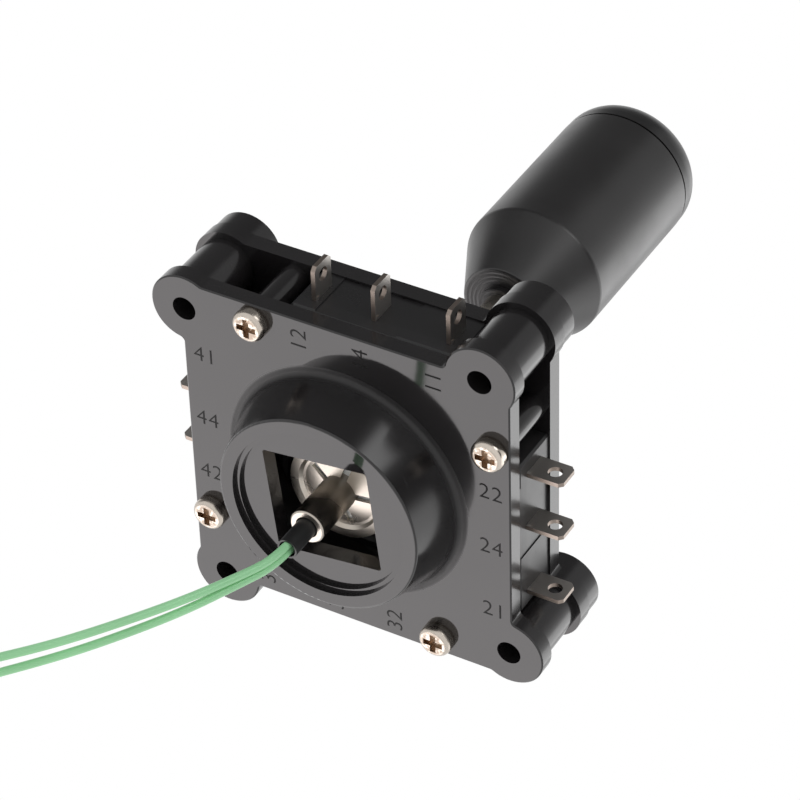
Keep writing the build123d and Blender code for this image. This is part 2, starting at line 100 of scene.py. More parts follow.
MEASURES = ("DOT_PRODUCT", "LENGTH", "DISTANCE")
FLAT = (1.0, 1.0, 0.0)


def add_node(tree: bpy.types.NodeTree, kind: str, **values: object) -> bpy.types.Node:
    """Adds a node and sets its plain properties.

    Args:
        tree: The node tree that gets the node.
        kind: The node's type name.
        values: Properties of the node by name.

    Returns:
        The new node.
    """
    node = tree.nodes.new(kind)
    for name, value in values.items():
        setattr(node, name, value)
    return node


def feed(tree: bpy.types.NodeTree, target: bpy.types.NodeSocket, source: Source) -> None:
    """Links a socket into another, or sets the target's own value.

    Args:
        tree: The node tree.
        target: The input socket.
        source: An output socket, a number or a tuple.
    """
    if isinstance(source, bpy.types.NodeSocket):
        tree.links.new(source, target)
    else:
        target.default_value = source


def feed_in_order(tree: bpy.types.NodeTree, node: bpy.types.Node, *sources: Source) -> None:
    """Feeds a node's inputs from the first one on."""
    for socket, source in zip(node.inputs, sources):
        feed(tree, socket, source)


def math_node(tree: bpy.types.NodeTree, operation: str, *sources: Source,
              clamp: bool = False) -> bpy.types.NodeSocket:
    """One Math node's output.

    Args:
        tree: The node tree.
        operation: The Math node's operation.
        sources: What goes in, in order.
        clamp: Whether the result is held between 0 and 1.

    Returns:
        The result socket.
    """
    node = add_node(tree, "ShaderNodeMath", operation=operation, use_clamp=clamp)
    feed_in_order(tree, node, *sources)
    return node.outputs[0]


def vector_node(tree: bpy.types.NodeTree, operation: str, *sources: Source) -> bpy.types.NodeSocket:
    """One Vector Math node's output.

    Args:
        tree: The node tree.
        operation: The Vector Math node's operation.
        sources: What goes in, in order.

    Returns:
        The result socket, a number where the operation measures and a vector otherwise.
    """
    node = add_node(tree, "ShaderNodeVectorMath", operation=operation)
    feed_in_order(tree, node, *sources)
    return node.outputs["Value" if operation in MEASURES else "Vector"]


def coordinates(tree: bpy.types.NodeTree, kind: str) -> bpy.types.NodeSocket:
    """The Object, Normal or Generated output of a Texture Coordinate node."""
    return add_node(tree, "ShaderNodeTexCoord").outputs[kind]


def part_of(tree: bpy.types.NodeTree, vector: bpy.types.NodeSocket,
            axis: Axis) -> bpy.types.NodeSocket:
    """A vector's part along one axis.

    Args:
        tree: The node tree.
        vector: The vector.
        axis: Which part is wanted.

    Returns:
        The part as a number.
    """
    split = add_node(tree, "ShaderNodeSeparateXYZ")
    feed_in_order(tree, split, vector)
    return split.outputs[axis.value]


def join_parts(tree: bpy.types.NodeTree, x: Source, y: Source) -> bpy.types.NodeSocket:
    """A vector with two parts and nothing along Z.

    Args:
        tree: The node tree.
        x: The part along X.
        y: The part along Y.

    Returns:
        The vector.
    """
    join = add_node(tree, "ShaderNodeCombineXYZ")
    feed_in_order(tree, join, x, y)
    return join.outputs[0]


def from_axis(tree: bpy.types.NodeTree, place: bpy.types.NodeSocket) -> bpy.types.NodeSocket:
    """A place's distance from the Z axis."""
    return vector_node(tree, "LENGTH", vector_node(tree, "MULTIPLY", place, FLAT))


def band(tree: bpy.types.NodeTree, value: Source, low: float, high: float,
         step: Step = Step.SOFT) -> bpy.types.NodeSocket:
    """A step from 0 at one value to 1 at another, which may be the lower of the two.

    Args:
        tree: The node tree.
        value: What the step goes by.
        low: The value that gives 0.
        high: The value that gives 1.
        step: How it goes from one to the other.

    Returns:
        The step's socket.
    """
    node = add_node(tree, "ShaderNodeMapRange", interpolation_type=step.value)
    feed(tree, node.inputs["Value"], value)
    feed(tree, node.inputs["From Min"], low)
    feed(tree, node.inputs["From Max"], high)
    return node.outputs[0]


def noise(tree: bpy.types.NodeTree, place: bpy.types.NodeSocket, size: Source,
          detail: float = 2.0) -> bpy.types.NodeSocket:
    """A noise texture's value.

    Args:
        tree: The node tree.
        place: Where it is read.
        size: Size of its spots.
        detail: How many finer layers it has.

    Returns:
        The value's socket.
    """
    node = add_node(tree, "ShaderNodeTexNoise")
    feed(tree, node.inputs["Vector"], place)
    feed(tree, node.inputs["Scale"], math_node(tree, "DIVIDE", 1.0, size))
    feed(tree, node.inputs["Detail"], detail)
    return node.outputs[0]


def blend(tree: bpy.types.NodeTree, kind: Blend, amount: Source, low: Source,
          high: Source) -> bpy.types.NodeSocket:
    """Mixes two colours or numbers by an amount.

    Args:
        tree: The node tree.
        kind: What is mixed.
        amount: Socket or number, 0 for the low one and 1 for the high one.
        low: Socket, number or RGBA.
        high: Socket, number or RGBA.

    Returns:
        The mixed value's socket.
    """
    data_type, low_place, high_place, result = kind.value
    node = add_node(tree, "ShaderNodeMix", data_type=data_type)
    feed(tree, node.inputs["Factor"], amount)
    feed(tree, node.inputs[low_place], low)
    feed(tree, node.inputs[high_place], high)
    return node.outputs[result]


def shader_of(tree: bpy.types.NodeTree) -> bpy.types.Node:
    """The Principled BSDF of a material's tree."""
    return tree.nodes["Principled BSDF"]


def add_to(tree: bpy.types.NodeTree, target: bpy.types.NodeSocket,
           extra: bpy.types.NodeSocket) -> None:
    """Adds a value to what already feeds an input."""
    feed(tree, target, math_node(tree, "ADD", target.links[0].from_socket, extra))


def rgba(colour: Colour) -> tuple[float, float, float, float]:
    """A colour with full alpha."""
    return (*colour, 1.0)


def shift(colour: Colour, factor: float) -> Colour:
    """A colour made lighter or darker by a factor."""
    return tuple(min(1.0, c * factor) for c in colour)


def put_in_scene(name: str, data: bpy.types.ID) -> bpy.types.Object:
    """Makes an object of some data and links it into the scene.

    Args:
        name: The object's name.
        data: Its mesh, curve, camera or light.

    Returns:
        The object.
    """
    made = bpy.data.objects.new(name, data)
    bpy.context.scene.collection.objects.link(made)
    return made


# Shared effects

# Finer layers of the grain's and the smudges' noise, and the values between which a smudge fades in
FINE_DETAIL = 3.0
BROAD_DETAIL = 4.0
SMUDGE_RANGE = (0.4, 0.7)

# The hairline marks' noise, and the patches that they stand in, about 3 mm across
MARK_DETAIL = 1.0
MARK_STRETCH = 0.06
MARK_SHARPNESS = 90.0
NOISE_MIDDLE = 0.5
PATCH_SIZE = 1 / 330
PATCH_RANGE = (0.52, 0.62)


def new_group(name: str, numbers: dict[str, float],
              results: tuple[str, ...]) -> tuple[bpy.types.NodeTree, bpy.types.Node, bpy.types.Node]:
    """Makes a node group that takes a vector and numbers and puts out numbers.

    Args:
        name: The group's name.
        numbers: Default of each number that goes in, by name.
        results: Name of each number that comes out.

    Returns:
        The group's tree, its input node and its output node.
    """
    group = bpy.data.node_groups.new(name, "ShaderNodeTree")
    group.interface.new_socket("Vector", in_out="INPUT", socket_type="NodeSocketVector")
    for label, default in numbers.items():
        socket = group.interface.new_socket(label, in_out="INPUT", socket_type="NodeSocketFloat")
        socket.default_value = default
    for label in results:
        group.interface.new_socket(label, in_out="OUTPUT", socket_type="NodeSocketFloat")
    return group, add_node(group, "NodeGroupInput"), add_node(group, "NodeGroupOutput")


def make_surface_group() -> bpy.types.NodeTree:
    """Fine grain and soft smudges of a moulded or polished surface.

    Returns:
        A group that puts out a height for bump and a mask of smudges.
    """
    group, into, out = new_group(
        "surface_grain", {"Grain size": 0.3 * MM, "Smudge size": 8.0 * MM}, ("Height", "Smudge"))
    place = into.outputs["Vector"]
    fine = noise(group, place, into.outputs["Grain size"], FINE_DETAIL)
    broad = noise(group, place, into.outputs["Smudge size"], BROAD_DETAIL)
    feed(group, out.inputs["Height"], fine)
    feed(group, out.inputs["Smudge"], band(group, broad, *SMUDGE_RANGE, step=Step.EVEN))
    return group


def make_turning_group() -> bpy.types.NodeTree:
    """Fine rings round the Z axis: a noise of radius and height only, the same all the way round.

    Returns:
        A group that puts out a ring height.
    """
    group, into, out = new_group("turning_rings", {"Pitch": 0.08 * MM}, ("Height",))
    place = into.outputs["Vector"]
    profile = join_parts(group, from_axis(group, place), part_of(group, place, Axis.Z))
    feed(group, out.inputs["Height"], noise(group, profile, into.outputs["Pitch"]))
    return group


def make_scratch_group() -> bpy.types.NodeTree:
    """Sparse hairline marks: where a noise stretched along one slanted way crosses its middle value.

    Returns:
        A group that puts out a mask of the marks.
    """
    group, into, out = new_group("hairline_marks", {"Spacing": 1.2 * MM, "Slant": 0.6}, ("Mask",))
    place = into.outputs["Vector"]
    turn = add_node(group, "ShaderNodeVectorRotate", rotation_type="Z_AXIS")
    feed(group, turn.inputs["Vector"], place)
    feed(group, turn.inputs["Angle"], into.outputs["Slant"])
    stretched = vector_node(group, "MULTIPLY", turn.outputs[0], (1.0, MARK_STRETCH, 1.0))
    fine = noise(group, stretched, into.outputs["Spacing"], MARK_DETAIL)
    off_middle = math_node(group, "ABSOLUTE", math_node(group, "SUBTRACT", fine, NOISE_MIDDLE))
    faded = math_node(group, "MULTIPLY", off_middle, MARK_SHARPNESS)
    line = math_node(group, "SUBTRACT", 1.0, faded, clamp=True)
    patch = band(group, noise(group, place, PATCH_SIZE), *PATCH_RANGE, step=Step.EVEN)
    feed(group, out.inputs["Mask"], math_node(group, "MULTIPLY", line, patch))
    return group


def make_quarter_group() -> bpy.types.NodeTree:
    """Distance in X and Y to the nearest of four places, a quarter turn apart round the Z axis.

    Returns:
        A group that takes the first place and puts out the distance.
    """
    group, into, out = new_group("nearest_of_four", {"Place X": 0.0, "Place Y": 0.0}, ("Distance",))
    flat = vector_node(group, "MULTIPLY", into.outputs["Vector"], FLAT)
    x, y = into.outputs["Place X"], into.outputs["Place Y"]
    less_x = math_node(group, "MULTIPLY", x, -1.0)
    less_y = math_node(group, "MULTIPLY", y, -1.0)
    gaps = [
        vector_node(group, "DISTANCE", flat, join_parts(group, across, along))
        for across, along in ((x, y), (less_y, x), (less_x, less_y), (y, less_x))
    ]
    nearest = gaps[0]
    for gap in gaps[1:]:
        nearest = math_node(group, "MINIMUM", nearest, gap)
    feed(group, out.inputs["Distance"], nearest)
    return group


def make_ring_group() -> bpy.types.NodeTree:
    """Distance to a ring round the Z axis.

    Returns:
        A group that takes the ring's radius and height and puts out the distance.
    """
    group, into, out = new_group("ring_distance", {"Radius": 10.0 * MM, "Height": 0.0}, ("Distance",))
    place = into.outputs["Vector"]
    off = math_node(group, "SUBTRACT", from_axis(group, place), into.outputs["Radius"])
    above = math_node(group, "SUBTRACT", part_of(group, place, Axis.Z), into.outputs["Height"])
    feed(group, out.inputs["Distance"], vector_node(group, "LENGTH", join_parts(group, off, above)))
    return group


class Effects:
    """The shared shader node groups, each built once."""

    def __init__(self) -> None:
        """Builds the groups."""
        self.surface = make_surface_group()
        self.turning = make_turning_group()
        self.scratches = make_scratch_group()
        self.quarters = make_quarter_group()
        self.ring = make_ring_group()


def place_effect(tree: bpy.types.NodeTree, group: bpy.types.NodeTree,
                 numbers: dict[str, float]) -> bpy.types.Node:
    """Places a shared effect in a material, on its Object coordinates.

    Args:
        tree: The material's tree.
        group: The effect's node group.
        numbers: The effect's own values by name.

    Returns:
        The group's node.
    """
    node = add_node(tree, "ShaderNodeGroup", node_tree=group)
    feed(tree, node.inputs["Vector"], coordinates(tree, "Object"))
    for name, value in numbers.items():
        feed(tree, node.inputs[name], value)
    return node


# Finishes

# Part of a face's normal along an axis at which it starts to count as standing, and wholly does
STANDING = (0.6, 0.3)


@dataclass(frozen=True)
class Finish:
    """One material's colour, gloss and fine marks.

    Args:
        name: The material's name.
        colour: Base colour.
        roughness: Roughness of the clean surface.
        metallic: 1 for metal.
        grain: Size of the fine grain.
        depth: Height of the grain for the bump.
        marks: Which way the marks run.
        smudge: How much rougher the smudges are.
        ior: Index of refraction.
        tint: Factor by which smudges lighten or darken the colour.
        hairlines: How much rougher the hairline marks are.
    """

    name: str
    colour: Colour
    roughness: float
    metallic: float = 0.0
    grain: float = 0.3 * MM
    depth: float = 2.0 * UM
    marks: Texture = Texture.SPECKLED
    smudge: float = 0.1
    ior: float = 1.5
    tint: float = 1.25
    hairlines: float = 0.0

    def material(self, effects: Effects) -> bpy.types.Material:
        """Builds the material's nodes.

        Args:
            effects: The shared node groups.

        Returns:
            The material.
        """
        made = bpy.data.materials.new(self.name)
        made.use_nodes = True
        tree = made.node_tree
        shader = shader_of(tree)
        surface = place_effect(tree, effects.surface, {"Grain size": self.grain})
        height = surface.outputs["Height"]
        if self.marks is Texture.TURNED:
            height = place_effect(tree, effects.turning, {"Pitch": self.grain}).outputs["Height"]
        smudge = surface.outputs["Smudge"]
        tinted = shift(self.colour, self.tint)
        colour = blend(tree, Blend.COLOUR, smudge, rgba(self.colour), rgba(tinted))
        feed(tree, shader.inputs["Base Color"], colour)
        rough = math_node(tree, "MULTIPLY_ADD", smudge, self.smudge, self.roughness)
        if self.hairlines:
            lines = place_effect(tree, effects.scratches, {}).outputs["Mask"]
            rough = math_node(tree, "ADD", rough, math_node(tree, "MULTIPLY", lines, self.hairlines))
        feed(tree, shader.inputs["Roughness"], rough)
        feed(tree, shader.inputs["Metallic"], self.metallic)
        feed(tree, shader.inputs["IOR"], self.ior)
        bump = add_node(tree, "ShaderNodeBump")
        feed(tree, bump.inputs["Distance"], self.depth)
        feed(tree, bump.inputs["Height"], height)
        feed(tree, shader.inputs["Normal"], bump.outputs[0])
        return made


def recolour(tree: bpy.types.NodeTree, mask: bpy.types.NodeSocket, strength: float,
             colour: Colour) -> None:
    """Lays a colour over what a material shows.

    Args:
        tree: The material's tree.
        mask: Where the colour lies, from 0 to 1.
        strength: How much of it shows there.
        colour: The colour.
    """
    target = shader_of(tree).inputs["Base Color"]
    amount = math_node(tree, "MULTIPLY", mask, strength)
    before = target.links[0].from_socket
    feed(tree, target, blend(tree, Blend.COLOUR, amount, before, rgba(colour)))


def standing(tree: bpy.types.NodeTree, axis: Axis) -> bpy.types.NodeSocket:
    """Where a piece's faces run along an axis and don't look along it.

    Args:
        tree: The material's tree.
        axis: The axis.

    Returns:
        1 on the faces that run along it and 0 on those that look along it.
    """
    facing = math_node(tree, "ABSOLUTE", part_of(tree, coordinates(tree, "Normal"), axis))
    return band(tree, facing, *STANDING)


@dataclass(frozen=True)
class ScrewPlatingAndShade(Finish):
    """A plated screw with dull brownish painted shade in its recess, and a painted shadow where it
    meets the plate.

    Args:
        place: X and Y of the first of the four screws.
        head_top: Height of the head's flat top.
        recess: Colour of the painted shade inside the recess.
        recess_radius: Reach of the recess from the screw's axis.
        recess_edge: Width of its edge.
        recess_depths: Depths under the head's top where its colour starts and is full.
        shade_spot_size: Size of the mottled spots of painted shade round the recess.
        shade_spot_reach: Where they end and where they are full, in times the recess' radius.
        shade_spot_range: Values of the noise between which a spot fades in.
        shade_spot_strength: How much of their colour shows.
        shade_spot_tone: Their colour, in times the recess' colour.
        foot_depths: Depths under the head's top where the painted shadow line starts and is full.
        foot_strength: How much of its colour shows.
        foot_shade: Its colour, in times the recess' colour.
    """

    place: tuple[float, float] = (10.66 * MM, 17.33 * MM)
    head_top: float = -14.5 * MM
    recess: Colour = (0.46, 0.36, 0.28)
    recess_radius: float = 1.25 * MM
    recess_edge: float = 0.05 * MM
    recess_depths: tuple[float, float] = (0.02 * MM, 0.35 * MM)
    shade_spot_size: float = 0.55 * MM
    shade_spot_reach: tuple[float, float] = (1.35, 0.95)
    shade_spot_range: tuple[float, float] = (0.4, 0.52)
    shade_spot_strength: float = 0.85
    shade_spot_tone: float = 0.42
    foot_depths: tuple[float, float] = (1.05 * MM, 1.4 * MM)
    foot_strength: float = 0.8
    foot_shade: float = 0.5

    def material(self, effects: Effects) -> bpy.types.Material:
        """Builds the plating and lays the painted shade over it: the spots, the recess and the shadow
        line.

        Args:
            effects: The shared node groups.

        Returns:
            The material.
        """
        made = super().material(effects)
        tree = made.node_tree
        where = coordinates(tree, "Object")
        height = part_of(tree, where, Axis.Z)
        first = {"Place X": self.place[0], "Place Y": self.place[1]}
        reach = place_effect(tree, effects.quarters, first).outputs["Distance"]
        # Painted shade: mottled brownish spots in a ring round the recess, for the shade on its
        # sloping walls.
        middle = band(tree, reach, *(times * self.recess_radius for times in self.shade_spot_reach))
        spots = band(tree, noise(tree, where, self.shade_spot_size), *self.shade_spot_range)
        spot_shade = math_node(tree, "MULTIPLY", spots, middle)
        recolour(tree, spot_shade, self.shade_spot_strength, shift(self.recess, self.shade_spot_tone))
        # Painted shade: the recess' dull brownish colour, below just under the head's top.
        inside = band(tree, reach, self.recess_radius, self.recess_radius - self.recess_edge)
        deep = band(tree, height, *(self.head_top + depth for depth in self.recess_depths))
        recolour(tree, math_node(tree, "MULTIPLY", inside, deep), 1.0, self.recess)
        # Painted shadow: a dark line low on the head's side, where it meets the plate.
        foot = band(tree, height, *(self.head_top + depth for depth in self.foot_depths))
        recolour(tree, foot, self.foot_strength, shift(self.recess, self.foot_shade))
        return made


@dataclass(frozen=True)
class BladeFinish(Finish):
    """Tinned sheet with cut edges that show the brass.

    Args:
        flat: Which axis the sheet's faces look along.
        cut: Colour of the cut edges.
        cut_strength: How much of it shows.
    """

    flat: Axis = Axis.X
    cut: Colour = (0.2, 0.15, 0.12)
    cut_strength: float = 0.75

    def material(self, effects: Effects) -> bpy.types.Material:
        """Builds the tin and lays the cut edges' colour over it.

        Args:
            effects: The shared node groups.

        Returns:
            The material.
        """
        made = super().material(effects)
        recolour(made.node_tree, standing(made.node_tree, self.flat), self.cut_strength, self.cut)
        return made


@dataclass(frozen=True)
class HousingFinish(Finish):
    """Polished moulding whose upright walls are duller, and the collar matt where it meets the plate.

    Args:
        foot_radius: Radius of the collar's foot.
        foot_height: Height of the plate's rear face.
        reach: How wide the matt ring is.
        matt: How much rougher it is.
        walls: How much rougher the upright walls are than the flat faces.
    """

    foot_radius: float = 13.7 * MM
    foot_height: float = -13.1 * MM
    reach: float = 1.0 * MM
    matt: float = 0.5
    walls: float = 0.1

    def material(self, effects: Effects) -> bpy.types.Material:
        """Builds the moulding and adds the walls and the matt ring to its roughness.

        Args:
            effects: The shared node groups.

        Returns:
            The material.
        """
        made = super().material(effects)
        tree = made.node_tree
        foot = {"Radius": self.foot_radius, "Height": self.foot_height}
        off = place_effect(tree, effects.ring, foot).outputs["Distance"]
        ring = math_node(tree, "MULTIPLY", band(tree, off, self.reach, self.reach / 2), self.matt)
        wall = math_node(tree, "MULTIPLY", standing(tree, Axis.Z), self.walls)
        add_to(tree, shader_of(tree).inputs["Roughness"], math_node(tree, "ADD", ring, wall))
        return made


@dataclass(frozen=True)
class GripFinish(Finish):
    """Turned plastic with a few open tool rings on its foot's end face.

    Args:
        foot: Height just above the end face.
        foot_reach: Over what height the rings fade in under it.
        pitch: Distance from ring to ring.
        ring_depth: Depth of a ring, in times the grain's depth.
    """

    foot: float = 21.36 * MM
    foot_reach: float = 0.04 * MM
    pitch: float = 0.5 * MM
    ring_depth: float = 3.2

    def material(self, effects: Effects) -> bpy.types.Material:
        """Builds the turned plastic and adds the rings to its height.

        Args:
            effects: The shared node groups.

        Returns:
            The material.
        """
        made = super().material(effects)
        tree = made.node_tree
        where = coordinates(tree, "Object")
        angle = math_node(tree, "MULTIPLY", from_axis(tree, where), 2 * math.pi / self.pitch)
        at_foot = band(tree, part_of(tree, where, Axis.Z), self.foot, self.foot - self.foot_reach)
        wave = math_node(tree, "MULTIPLY", math_node(tree, "SINE", angle), at_foot)
        bump = shader_of(tree).inputs["Normal"].links[0].from_node
        add_to(tree, bump.inputs["Height"], math_node(tree, "MULTIPLY", wave, self.ring_depth))
        return made


GLOSS_BLACK = HousingFinish(
    "moulded_gloss_black", colour=(0.012, 0.0108, 0.011), roughness=0.05,
    grain=1.2 * MM, depth=1.2 * UM, smudge=0.05, hairlines=0.12)
SWITCH_BLACK = Finish(
    "switch_case_black", colour=(0.015, 0.0142, 0.0144), roughness=0.27,
    grain=0.5 * MM, ior=1.42, hairlines=0.1)
COVER_BLACK = replace(
    SWITCH_BLACK, name="switch_cover_black", colour=(0.017, 0.0162, 0.0164), roughness=0.3)
INK_BLACK = Finish(
    "number_black", colour=(0.002, 0.0018, 0.0018), roughness=0.5, depth=1.0 * UM, ior=1.25)
GRIP_BLACK = GripFinish(
    "grip_satin_black", colour=(0.0105, 0.0095, 0.0095), roughness=0.29,
    grain=0.12 * MM, ior=1.58, marks=Texture.TURNED, hairlines=0.05)
BUTTON_BLACK = Finish(
    "button_satin_black", colour=(0.0115, 0.011, 0.011), roughness=0.28,
    grain=0.25 * MM, hairlines=0.05)
PLUNGER_WHITE = Finish("plunger_acetal", colour=(0.7, 0.66, 0.57), roughness=0.4)
ACTUATOR_WHITE = Finish("actuator_white", colour=(0.75, 0.75, 0.72), roughness=0.38)
TIN_BLADE_X = BladeFinish(
    "terminal_tin", colour=(0.5, 0.47, 0.44), roughness=0.36, metallic=1.0,
    grain=0.35 * MM, smudge=0.16, tint=0.8, hairlines=0.15)
TIN_BLADE_Y = replace(TIN_BLADE_X, name="terminal_tin_across", flat=Axis.Y)
TIN_PLATE = Finish(
    "tab_tin", colour=(0.55, 0.53, 0.5), roughness=0.3, metallic=1.0, grain=0.2 * MM, depth=1.0 * UM)
NICKEL = ScrewPlatingAndShade(
    "screw_nickel", colour=(0.6, 0.54, 0.475), roughness=0.19, metallic=1.0,
    grain=0.4 * MM, depth=1.5 * UM, smudge=0.14, tint=0.85, hairlines=0.2)
SHAFT_STEEL = Finish(
    "shaft_steel", colour=(0.46, 0.42, 0.37), roughness=0.24, metallic=1.0,
    grain=0.06 * MM, depth=0.8 * UM, marks=Texture.TURNED, smudge=0.18, tint=0.75)
RETAINER_STEEL = Finish(
    "retainer_steel", colour=(0.52, 0.475, 0.42), roughness=0.26, metallic=1.0,
    grain=0.2 * MM, depth=0.8 * UM, smudge=0.12, tint=0.85)
PLAIN_STEEL = Finish(
    "plain_steel", colour=(0.55, 0.54, 0.52), roughness=0.25, metallic=1.0,
    grain=0.2 * MM, depth=1.0 * UM)
SPRING_STEEL = Finish(
    "spring_steel", colour=(0.5, 0.49, 0.47), roughness=0.28, metallic=1.0,
    grain=0.2 * MM, depth=1.0 * UM)
SHRINK_BLACK = Finish(
    "shrink_sleeve_black", colour=(0.012, 0.012, 0.012), roughness=0.34,
    grain=0.4 * MM, depth=10.0 * UM)
WIRE_GREEN = Finish(
    "wire_light_green", colour=(0.32, 0.66, 0.34), roughness=0.33,
    grain=0.4 * MM, depth=3.0 * UM, smudge=0.05, tint=1.08)
TINNED_COPPER = Finish(
    "tinned_copper", colour=(0.75, 0.73, 0.7), roughness=0.22, metallic=1.0, grain=0.1 * MM)
BLOCK_GREY = Finish("button_switch_grey", colour=(0.05, 0.05, 0.055), roughness=0.35)


def wear(piece: bpy.types.Object, material: bpy.types.Material) -> None:
    """Puts a material in each of an object's slots, or in a new one.

    Args:
        piece: The object.
        material: Its material.
    """
    if not piece.material_slots:
        piece.data.materials.append(material)
    for place in piece.material_slots:
        place.link = "OBJECT"
        place.material = material


# Surfaces


def grid_faces(rows: int, columns: int) -> np.ndarray:
    """Quads of a grid whose columns close on themselves.

    Args:
        rows: Points along the grid.
        columns: Points round it.

    Returns:
        Face corners, one row a face. The faces point outwards when the columns run anticlockwise,
        as seen from the end that the rows run to.
    """
    row, column = np.meshgrid(np.arange(rows - 1), np.arange(columns), indexing="ij")
    here = row * columns + column
    beside = row * columns + (column + 1) % columns
    corners = (here, beside, beside + columns, here + columns)
    return np.stack([corner.ravel() for corner in corners], axis=1)


def join_surfaces(surfaces: list[Surface]) -> Surface:
    """Puts surfaces one after another into one.

    Args:
        surfaces: Points and faces of each.

    Returns:
        All points, and all faces with their corners counted on.
    """
    faces: list[list[int]] = []
    base = 0
    for points, polygons in surfaces:
        faces += [[corner + base for corner in polygon] for polygon in polygons]
        base += len(points)
    return np.concatenate([points for points, polygons in surfaces]), faces


def mesh_object(name: str, surface: Surface, smooth: bool = True) -> bpy.types.Object:
    """A mesh object at the origin.

    Args:
        name: The object's name.
        surface: Its points and faces.
        smooth: Whether the faces are shaded smooth.

    Returns:
        The object, linked into the scene.
    """
    points, faces = surface
    mesh = bpy.data.meshes.new(name)
    mesh.from_pydata(points.tolist(), [], faces)
    mesh.polygons.foreach_set("use_smooth", np.full(len(mesh.polygons), smooth))
    mesh.update()
    return put_in_scene(name, mesh)


@dataclass
class Strand:
    """One twisted strand of a bundle, as a tube with flat ends.

    Args:
        start: Where the bundle's axis starts.
        way: Unit vector along the bundle.
        length: The bundle's length.
        radius: The strand's radius.
        offset: The centre line's distance from the bundle's axis.
        phase: Angle of the centre line at the start.
        turns: Turns of the twist over the length.
        rows: Points along the strand.
        columns: Points round it.
    """

    start: np.ndarray
    way: np.ndarray
    length: float
    radius: float
    offset: float
    phase: float
    turns: float = 1.2
    rows: int = 25
    columns: int = 8

    def surface(self) -> Surface:
        """The tube's points and faces, its two ends closed by one face each.

        The centre line is start + length*t*way + offset*(cos a, sin a) across the way, where
        a = phase + 2*pi*turns*t and t runs from 0 to 1. The surface stands off it by the strand's
        radius at the angle u, in the plane across the way.

        Returns:
            Points and faces.
        """
        side = np.cross(self.way, [0.0, 1.0, 0.0])
        side /= np.linalg.norm(side)
        other = np.cross(self.way, side)
        t = np.linspace(0.0, 1.0, self.rows)[:, None]
        u = np.linspace(0.0, 2 * math.pi, self.columns, endpoint=False)[None, :]
        a = self.phase + 2 * math.pi * self.turns * t
        along = self.length * t * np.ones_like(u)
        across = self.offset * np.cos(a) + self.radius * np.cos(u)
        beside = self.offset * np.sin(a) + self.radius * np.sin(u)
        off_start = along[..., None] * self.way + across[..., None] * side + beside[..., None] * other
        points = self.start + off_start
        last = (self.rows - 1) * self.columns
        ends = [list(range(self.columns - 1, -1, -1)), list(range(last, last + self.columns))]
        return points.reshape(-1, 3), grid_faces(self.rows, self.columns).tolist() + ends


# Sub-assemblies


def dress_nodes(nodes: dict[str, bpy.types.Object], effects: Effects,
                chosen: dict[Finish, tuple[str, ...]]) -> None:
    """Gives CAD nodes their finishes and reports each of them.

    Args:
        nodes: The CAD nodes by name.
        effects: The shared node groups.
        chosen: Names of the nodes that wear each finish.
    """
    for finish, names in chosen.items():
        material = finish.material(effects)
        for name in names:
            wear(nodes[name], material)
            LOG.info("%s dressed", name)


@dataclass
class PlatePair:
    """The two housings, the gate, their screws and the spring washer.

    Args:
        nodes: The CAD nodes by name.
        effects: The shared node groups.
    """

    nodes: dict[str, bpy.types.Object]
    effects: Effects

    def dress(self) -> None:
        """Gives each node its finish."""
        dress_nodes(self.nodes, self.effects, {
            GLOSS_BLACK: ("rear_housing", "front_housing", "gate_disc"),
            NICKEL: ("housing_screws",),
            PLAIN_STEEL: ("spring_washer",),
        })


@dataclass
class SwitchSet:
    """The four snap-action switches with their terminals and plungers.

    Args:
        nodes: The CAD nodes by name.
        effects: The shared node groups.
        count: How many switches there are.
    """

    nodes: dict[str, bpy.types.Object]
    effects: Effects
    count: int = 4

    def named(self, part: str, first: int = 1, step: int = 1) -> tuple[str, ...]:
        """Names of one part's nodes, for each switch or for every second one."""
        return tuple(f"{part}_{number}" for number in range(first, self.count + 1, step))

    def dress(self) -> None:
        """Gives each node its finish. The terminals' faces look along X and Y in turn."""
        dress_nodes(self.nodes, self.effects, {
            SWITCH_BLACK: self.named("switch_case"),
            COVER_BLACK: self.named("switch_cover"),
            PLUNGER_WHITE: self.named("plunger"),
            TIN_BLADE_X: self.named("terminals", first=1, step=2),
            TIN_BLADE_Y: self.named("terminals", first=2, step=2),
        })


